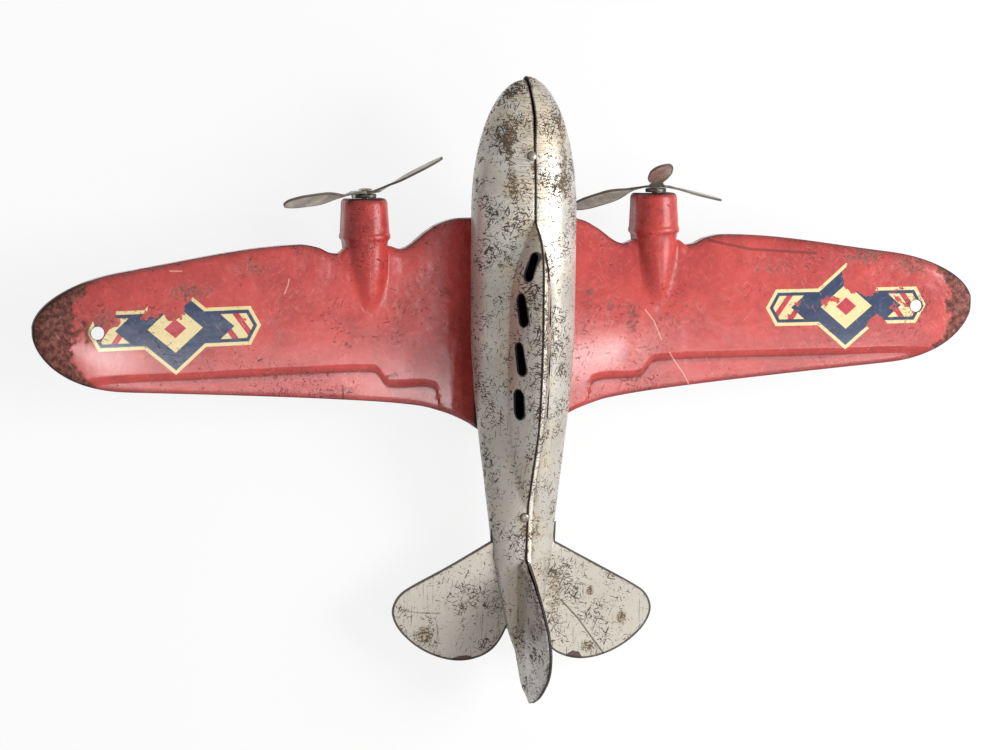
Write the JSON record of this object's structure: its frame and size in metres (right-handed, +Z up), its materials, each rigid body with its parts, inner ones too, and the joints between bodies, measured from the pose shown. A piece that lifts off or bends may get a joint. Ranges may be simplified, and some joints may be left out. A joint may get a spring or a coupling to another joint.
{
  "type": "toy airplane",
  "caption": "Pressed steel toy airplane with turning propellers and wheels, a red wing with drawn engine nacelles and a silver fuselage pressed in mirrored halves.",
  "frame": {"origin": "centre of the footprint at floor level", "axes": "+Y towards the nose, +X towards the right wing tip, +Z up from the floor that the wheels and tail skid rest on"},
  "size_m": [0.3256, 0.2086, 0.0641],
  "materials": {
    "wing_red": "worn satin red enamel on pressed steel",
    "body_silver": "worn silver lacquer with rust specks",
    "tin_plate": "dull tin plate",
    "dark_steel": "tarnished steel",
    "steel_wire": "drawn wire",
    "wheel_black": "turned wood painted black"
  },
  "bodies": {
    "airframe": {"wing": "wing_red", "fuselage_left": "body_silver", "fuselage_right": "body_silver", "tailplane": "body_silver", "seam_rivet_front": "dark_steel", "seam_rivet_rear": "dark_steel", "seam_strap_front": "tin_plate", "seam_strap_rear": "tin_plate", "tail_skid": "dark_steel", "tail_skid_rivet": "dark_steel", "bracket_rivet_front": "dark_steel", "bracket_rivet_rear": "dark_steel", "undercarriage_bracket": "dark_steel", "axle": "steel_wire", "axle_cap_left": "tin_plate", "axle_cap_right": "tin_plate", "propeller_washer_left": "dark_steel", "propeller_washer_right": "dark_steel", "propeller_rivet_left": "dark_steel", "propeller_rivet_right": "dark_steel"},
    "wheel_left": {"wheel_left": "wheel_black"},
    "wheel_right": {"wheel_right": "wheel_black"},
    "propeller_left": {"propeller_left": "tin_plate"},
    "propeller_right": {"propeller_right": "tin_plate"}
  },
  "joints": [
    {"name": "wheel_left_spin", "type": "hinge", "parent": "airframe", "child": "wheel_left", "pos_m": [-0.029, 0.04108, 0.01091], "axis": [1, 0, 0], "continuous": true},
    {"name": "wheel_right_spin", "type": "hinge", "parent": "airframe", "child": "wheel_right", "pos_m": [0.029, 0.04108, 0.01091], "axis": [1, 0, 0], "continuous": true},
    {"name": "propeller_left_spin", "type": "hinge", "parent": "airframe", "child": "propeller_left", "pos_m": [-0.051, 0.06922, 0.03359], "axis": [0, 0.9816, 0.1908], "continuous": true},
    {"name": "propeller_right_spin", "type": "hinge", "parent": "airframe", "child": "propeller_right", "pos_m": [0.051, 0.06922, 0.03359], "axis": [0, 0.9816, 0.1908], "continuous": true}
  ]
}
